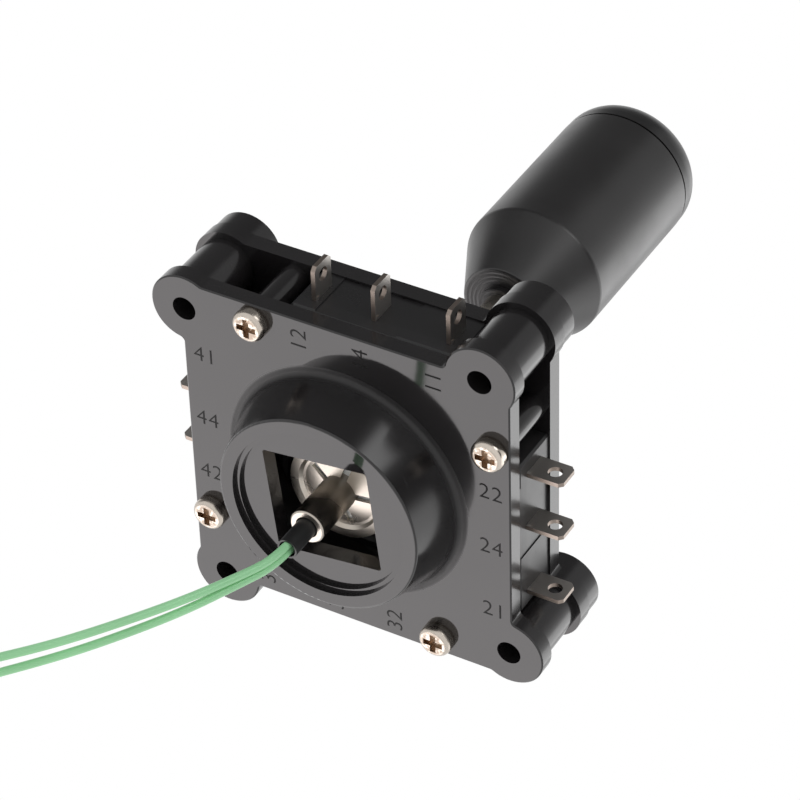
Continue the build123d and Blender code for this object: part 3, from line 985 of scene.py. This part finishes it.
@dataclass
class ContactNumbers:
    """Plain contact numbers on the rear plate, three beside each switch.

    Args:
        effects: The shared node groups.
        switches: How many switches there are, a quarter turn apart.
        from_centre: How far the numbers stand from the plate's centre, towards its side.
        along: Where they stand along the first switch's side.
        contacts: The last digit at each of these places.
        face: Height of the plate's rear face.
        proud: How far the figures stand off it.
        size: Height of the type.
        thinner: Offset of each stroke's edge, in times the type's height. Below zero it is drawn in.
        letter_space: Room from digit to digit, in times the typeface's own.
        curve_steps: Straight pieces in each curve of a figure.
    """

    effects: Effects
    switches: int = 4
    from_centre: float = 17.2 * MM
    along: tuple[float, ...] = (5.2 * MM, -2.1 * MM, -10.7 * MM)
    contacts: tuple[int, ...] = (2, 4, 1)
    face: float = -13.1 * MM
    proud: float = 0.012 * MM
    size: float = 2.75 * MM
    thinner: float = -0.009
    letter_space: float = 1.08
    curve_steps: int = 6

    def figures(self, text: str) -> Surface:
        """One number as a flat mesh round its own middle.

        Args:
            text: The digits.

        Returns:
            Points in metres, and faces.
        """
        curve = bpy.data.curves.new("figures", "FONT")
        curve.body = text
        curve.size = 1.0
        curve.offset = self.thinner
        curve.space_character = self.letter_space
        curve.resolution_u = self.curve_steps
        holder = put_in_scene("figures", curve)
        mesh = bpy.data.meshes.new_from_object(holder)
        points = np.empty(len(mesh.vertices) * 3)
        mesh.vertices.foreach_get("co", points)
        points = points.reshape(-1, 3)
        faces = [list(polygon.vertices) for polygon in mesh.polygons]
        bpy.data.objects.remove(holder)
        bpy.data.curves.remove(curve)
        bpy.data.meshes.remove(mesh)
        middle = (points.min(axis=0) + points.max(axis=0)) / 2
        return (points - middle) * self.size, faces

    def beside(self, switch: int) -> Surface:
        """The three numbers beside one switch.

        Each place is the first switch's, turned by a quarter turn for each switch after it. The
        figures are read from the rear. Their tops point along X beside the first and third switch,
        and along Y beside the others.

        Args:
            switch: The switch's number, from 1.

        Returns:
            Points and faces of all three.
        """
        turn = math.pi / 2 * (switch - 1)
        cos, sin = round(math.cos(turn)), round(math.sin(turn))
        turned = switch % 2 == 0
        across = np.array([-1.0, 0.0, 0.0]) if turned else np.array([0.0, 1.0, 0.0])
        upward = np.array([0.0, 1.0, 0.0]) if turned else np.array([1.0, 0.0, 0.0])
        y = self.from_centre
        surfaces: list[Surface] = []
        for x, contact in zip(self.along, self.contacts):
            flat, faces = self.figures(f"{switch}{contact}")
            centre = np.array([x * cos - y * sin, x * sin + y * cos, self.face - self.proud])
            surfaces.append((centre + flat[:, :1] * across + flat[:, 1:2] * upward, faces))
        return join_surfaces(surfaces)

    def build(self) -> None:
        """Places the numbers, those of one switch as one piece."""
        ink = INK_BLACK.material(self.effects)
        for switch in range(1, self.switches + 1):
            piece = mesh_object(f"contact_numbers_{switch}", self.beside(switch), smooth=False)
            wear(piece, ink)
            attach(piece, "housing")
            LOG.info("numbers of switch %d placed", switch)


@dataclass
class Stick:
    """The pivot, the shaft, the grip and what they carry.

    Args:
        nodes: The CAD nodes by name.
        effects: The shared node groups.
    """

    nodes: dict[str, bpy.types.Object]
    effects: Effects

    def dress(self) -> None:
        """Gives each node its finish."""
        dress_nodes(self.nodes, self.effects, {
            SHAFT_STEEL: ("shaft",),
            RETAINER_STEEL: ("star_retainer",),
            PLAIN_STEEL: ("pivot_race", "race_pins", "pivot_ball", "ball_pins"),
            SPRING_STEEL: ("centring_spring", "button_spring"),
            ACTUATOR_WHITE: ("actuator",),
            GRIP_BLACK: ("grip_body",),
            BUTTON_BLACK: ("button_cap",),
            BLOCK_GREY: ("button_switch",),
            TIN_PLATE: ("button_tabs",),
            SHRINK_BLACK: ("sleeve",),
            WIRE_GREEN: ("lead_1", "lead_2"),
        })


@dataclass
class FreeWires:
    """The two wires that leave the shaft's rear end, with their stripped ends.

    Args:
        effects: The shared node groups.
        diameter: Over the insulation.
        spacing: Between the wires' centres in the sleeve.
        tip_diameter: Of the bundle of bare strands.
        tip_length: Of the bare strands.
        outer_strands: Strands round the middle one.
        length: Each wire's real length. It is not used.
        route: Points of the shared route in millimetres, with the source's values.
        spread: How far each wire moves outwards at these points, in millimetres.
        order: Order of the smooth curve.
        steps: Straight pieces from point to point.
        round_steps: Fineness of the round section.
    """

    effects: Effects
    diameter: float = 0.9 * MM
    spacing: float = 0.92 * MM
    tip_diameter: float = 0.5 * MM
    tip_length: float = 4.0 * MM
    outer_strands: int = 6
    length: float = 81.5 * MM
    route: tuple[Point, ...] = (
        (0.0, 0.0, -23.8), (0.0, 0.0, -27.6), (1.7, 0.0, -31.6), (4.9, 0.0, -38.2),
        (9.6, 0.0, -45.6), (13.3, 0.0, -50.6), (18.0, 0.0, -56.0), (21.6, 0.0, -63.5),
        (23.4, 0.0, -74.0), (23.5, 0.0, -87.0), (22.5, 0.0, -99.0),
    )
    spread: tuple[float, ...] = (0.0, 0.0, 0.03, 0.27, 0.42, 0.46, 0.6, 0.85, 1.15, 1.45, 1.7)
    order: int = 3
    steps: int = 12
    round_steps: int = 6

    def points(self, side: int) -> np.ndarray:
        """One wire's control points, in metres.

        Args:
            side: -1 for the first wire and 1 for the second.

        Returns:
            One row a point.
        """
        way = np.array(self.route) * MM
        way[:, 1] = side * (self.spacing / 2 + np.array(self.spread) * MM)
        return way

    def wire(self, number: int, side: int, material: bpy.types.Material) -> bpy.types.Object:
        """Builds one wire as a smooth NURBS curve with a round section.

        Args:
            number: The wire's number.
            side: Which side of the shaft's axis it lies on.
            material: The insulation.

        Returns:
            The curve object.
        """
        curve = bpy.data.curves.new(f"green_wire_{number}", "CURVE")
        curve.dimensions = "3D"
        spline = curve.splines.new("NURBS")
        way = self.points(side)
        spline.points.add(len(way) - 1)
        spline.points.foreach_set("co", np.column_stack([way, np.ones(len(way))]).ravel())
        spline.order_u = self.order
        spline.use_endpoint_u = True
        spline.resolution_u = self.steps
        curve.resolution_u = self.steps
        curve.bevel_depth = self.diameter / 2
        curve.bevel_resolution = self.round_steps
        curve.use_fill_caps = True
        piece = put_in_scene(f"green_wire_{number}", curve)
        wear(piece, material)
        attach(piece, "stick")
        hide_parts(f"wire_{number}")
        return piece

    def tip(self, number: int, side: int, material: bpy.types.Material) -> bpy.types.Object:
        """Builds one stripped end as a twisted bundle of tinned strands, one of them in the middle.

        Three strands lie side by side across the bundle, so it is six of their radii wide.

        Args:
            number: The wire's number.
            side: Which side of the shaft's axis it lies on.
            material: The tinned copper.

        Returns:
            The mesh object.
        """
        *_, before, end = self.points(side)
        ahead = (end - before) / np.linalg.norm(end - before)
        radius = self.tip_diameter / 6
        phases = [2 * math.pi * place / self.outer_strands for place in range(self.outer_strands)]
        layout = [(0.0, 0.0)] + [(2 * radius, phase) for phase in phases]
        strands = [
            Strand(end, ahead, self.tip_length, radius, offset, phase).surface()
            for offset, phase in layout
        ]
        piece = mesh_object(f"wire_tip_{number}", join_surfaces(strands))
        wear(piece, material)
        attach(piece, "stick")
        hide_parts("wire_tips")
        return piece

    def build(self) -> None:
        insulation = WIRE_GREEN.material(self.effects)
        strands = TINNED_COPPER.material(self.effects)
        for number, side in ((1, -1), (2, 1)):
            wire = self.wire(number, side, insulation)
            tip = self.tip(number, side, strands)
            start = tuple(float(c) for c in self.points(side)[0])
            LOG.info("wire %d built", number)


# Studio


def showing_rays(tree: bpy.types.NodeTree) -> bpy.types.NodeSocket:
    """Tells the rays that show a thing from the light that it gives.

    Args:
        tree: The tree of a material or of the world.

    Returns:
        1 by sight, in a mirror or through glass, and 0 otherwise.
    """
    seen = add_node(tree, "ShaderNodeLightPath").outputs
    mirrored = math_node(tree, "MAXIMUM", seen["Is Glossy Ray"], seen["Is Transmission Ray"])
    return math_node(tree, "MAXIMUM", seen["Is Camera Ray"], mirrored)


def background(tree: bpy.types.NodeTree, colour: Colour, strength: Source) -> bpy.types.NodeSocket:
    """One Background shader.

    Args:
        tree: The world's tree.
        colour: Its colour.
        strength: Socket or number.

    Returns:
        The shader's socket.
    """
    node = add_node(tree, "ShaderNodeBackground")
    feed(tree, node.inputs["Color"], rgba(colour))
    feed(tree, node.inputs["Strength"], strength)
    return node.outputs[0]


@dataclass(frozen=True)
class Zone:
    """A soft round part of the mirrored sky.

    Args:
        way: Towards the zone's middle.
        inner: Angle in degrees inside which it is full.
        outer: Angle at which it ends.
        change: How much brighter it is. Below zero it is the share by which it is darker.
    """

    way: Point
    inner: float
    outer: float
    change: float

    def over(self, tree: bpy.types.NodeTree, glow: bpy.types.NodeSocket) -> bpy.types.NodeSocket:
        """Lays the zone over the sky's brightness.

        Args:
            tree: The world's tree.
            glow: The brightness before it.

        Returns:
            The brightness with it.
        """
        middle = Vector(self.way).normalized()
        near = vector_node(tree, "DOT_PRODUCT", coordinates(tree, "Generated"), middle)
        edges = (math.cos(math.radians(angle)) for angle in (self.outer, self.inner))
        here = band(tree, near, *edges)
        if self.change < 0:
            here = math_node(tree, "MULTIPLY", here, glow)
        return math_node(tree, "MULTIPLY_ADD", here, self.change, glow)


@dataclass(frozen=True)
class Lamp:
    """A soft square lamp that faces the origin.

    Args:
        name: The lamp's name.
        way: From the origin to the lamp.
        distance: How far it stands.
        size: Its side.
        glow: Brightness of its face, where 1 is white.
        colour: Its colour.
        mirrored: Whether it shows in reflections.
    """

    name: str
    way: Point
    distance: float
    size: float
    glow: float
    colour: Colour = WHITE
    mirrored: bool = True

    def build(self) -> None:
        """Places the lamp."""
        data = bpy.data.lights.new(self.name, "AREA")
        data.size = self.size
        data.energy = self.glow * math.pi * self.size * self.size
        data.color = self.colour
        lamp = put_in_scene(self.name, data)
        place = Vector(self.way).normalized() * self.distance
        lamp.location = place
        lamp.rotation_euler = (-place).to_track_quat("-Z", "Y").to_euler()
        lamp.visible_glossy = self.mirrored
        lamp.visible_camera = False


@dataclass
class Studio:
    """Camera, world, lamps and floor.

    Args:
        eye: The camera's place.
        right: The picture's right in the row frame.
        up: The picture's up.
        back: From the object to the camera.
        lens: Focal length in millimetres.
        sensor: Width of the sensor in millimetres.
        clip: Nearest and farthest place that the camera shows.
        sky_colour: Colour of the world's light.
        sky_light: Its strength.
        shade_in_y: Y of the mirrored sky's ways where its shade starts and is full.
        shade_in_x: X of these ways where the shade starts to grow and where it has grown.
        shade_least: How dark the shade is before it grows.
        shade_more: How much darker it gets.
        zones: Soft dark and bright parts of the mirrored sky.
        lamps: The lamps.
        floor_height: Height of the floor, under any camera that looks up at the object.
        floor_half: Half of its side.
        floor_colour: Its colour.
        floor_roughness: Its roughness.
        floor_glow: Colour of the light added where it is shown.
        floor_lift: Strength of that light.
    """

    eye: Point = (-0.158642, 0.248220, -0.267444)
    right: Point = (-0.86846, -0.02545, 0.4951)
    up: Point = (0.29036, 0.78335, 0.54959)
    back: Point = (-0.40182, 0.62106, -0.67293)
    lens: float = 166.5
    sensor: float = 36.0
    clip: tuple[float, float] = (0.01, 40.0)
    sky_colour: Colour = (0.95, 0.97, 1.0)
    sky_light: float = 0.8
    shade_in_y: tuple[float, float] = (-0.1, 0.35)
    shade_in_x: tuple[float, float] = (-0.4, -0.16)
    shade_least: float = 0.4
    shade_more: float = 0.4
    zones: tuple[Zone, ...] = (
        Zone(way=(-0.96, 0.22, 0.02), inner=14.0, outer=30.0, change=-0.8),
        Zone(way=(-0.58, 0.79, 0.17), inner=5.0, outer=18.0, change=2.4),
        Zone(way=(-0.82, -0.48, 0.32), inner=14.0, outer=34.0, change=0.8),
    )
    lamps: tuple[Lamp, ...] = (
        Lamp("table_light", way=(0.42, -0.62, -0.66), distance=0.6, size=0.62, glow=2.0,
             colour=(1.0, 0.95, 0.955)),
        Lamp("side_light", way=(-0.45, -0.5, 0.73), distance=0.8, size=0.5, glow=1.3),
        Lamp("key", way=(-0.5, 0.83, 0.25), distance=0.9, size=0.4, glow=1.5, mirrored=False),
    )
    floor_height: float = -1.1
    floor_half: float = 12.0
    floor_colour: Colour = (0.9, 0.9, 0.9)
    floor_roughness: float = 0.8
    floor_glow: Colour = (1.0, 0.95, 0.88)
    floor_lift: float = 0.3

    def camera(self) -> None:
        """Places the camera at the photograph's viewpoint, its three ways made exactly square."""
        data = bpy.data.cameras.new("camera")
        data.lens = self.lens
        data.sensor_width = self.sensor
        data.clip_start, data.clip_end = self.clip
        camera = put_in_scene("camera", data)
        axes = np.linalg.svd(np.array([self.right, self.up, self.back]).T)
        turn = Matrix((axes[0] @ axes[2]).tolist())
        camera.matrix_world = Matrix.Translation(self.eye) @ turn.to_4x4()
        bpy.context.scene.camera = camera

    def mirrored_sky(self, tree: bpy.types.NodeTree) -> bpy.types.NodeSocket:
        """Brightness of the sky in mirrors: white, with a shade on one side and the zones.

        Args:
            tree: The world's tree.

        Returns:
            The brightness' socket.
        """
        way = coordinates(tree, "Generated")
        upper = band(tree, part_of(tree, way, Axis.Y), *self.shade_in_y)
        grown = band(tree, part_of(tree, way, Axis.X), *self.shade_in_x)
        shade = math_node(tree, "MULTIPLY_ADD", grown, self.shade_more, self.shade_least)
        glow = math_node(tree, "SUBTRACT", 1.0, math_node(tree, "MULTIPLY", upper, shade))
        for zone in self.zones:
            glow = zone.over(tree, glow)
        return glow

    def world(self) -> None:
        """White to the camera, the mirrored sky in reflections, and a plain pale light otherwise."""
        world = bpy.data.worlds.new("studio_world")
        bpy.context.scene.world = world
        world.use_nodes = True
        tree = world.node_tree
        tree.nodes.clear()
        by_sight = add_node(tree, "ShaderNodeLightPath").outputs["Is Camera Ray"]
        strength = blend(tree, Blend.NUMBER, by_sight, self.mirrored_sky(tree), 1.0)
        light = background(tree, self.sky_colour, self.sky_light)
        mix = add_node(tree, "ShaderNodeMixShader")
        feed_in_order(tree, mix, showing_rays(tree), light, background(tree, WHITE, strength))
        out = add_node(tree, "ShaderNodeOutputWorld")
        feed(tree, out.inputs["Surface"], mix.outputs[0])

    def floor(self) -> None:
        """A plain pale floor, lifted to the world's white where it is looked at or mirrored."""
        corners = np.array([[-1.0, -1.0, 0.0], [1.0, -1.0, 0.0], [1.0, 1.0, 0.0], [-1.0, 1.0, 0.0]])
        corners *= self.floor_half
        corners[:, 2] = self.floor_height
        piece = mesh_object("floor", (corners, [[0, 1, 2, 3]]), smooth=False)
        made = bpy.data.materials.new("floor_white")
        made.use_nodes = True
        tree = made.node_tree
        inputs = shader_of(tree).inputs
        feed(tree, inputs["Base Color"], rgba(self.floor_colour))
        feed(tree, inputs["Roughness"], self.floor_roughness)
        feed(tree, inputs["Emission Color"], rgba(self.floor_glow))
        lift = math_node(tree, "MULTIPLY", showing_rays(tree), self.floor_lift)
        feed(tree, inputs["Emission Strength"], lift)
        wear(piece, made)

    def build(self) -> None:
        """Sets the studio up."""
        self.camera()
        self.world()
        for lamp in self.lamps:
            lamp.build()
        self.floor()
        bpy.context.scene.view_settings.view_transform = "Standard"
        LOG.info("studio ready")


def main() -> None:
    """Builds the looks in order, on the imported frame."""
    logging.basicConfig(level=logging.INFO, format="%(message)s")
    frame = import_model()
    nodes = frame["nodes"]
    effects = Effects()
    Studio().build()
    FreeWires(effects).build()
    PlatePair(nodes, effects).dress()
    SwitchSet(nodes, effects).dress()
    ContactNumbers(effects).build()
    Stick(nodes, effects).dress()


if __name__ == "__main__":
    main()
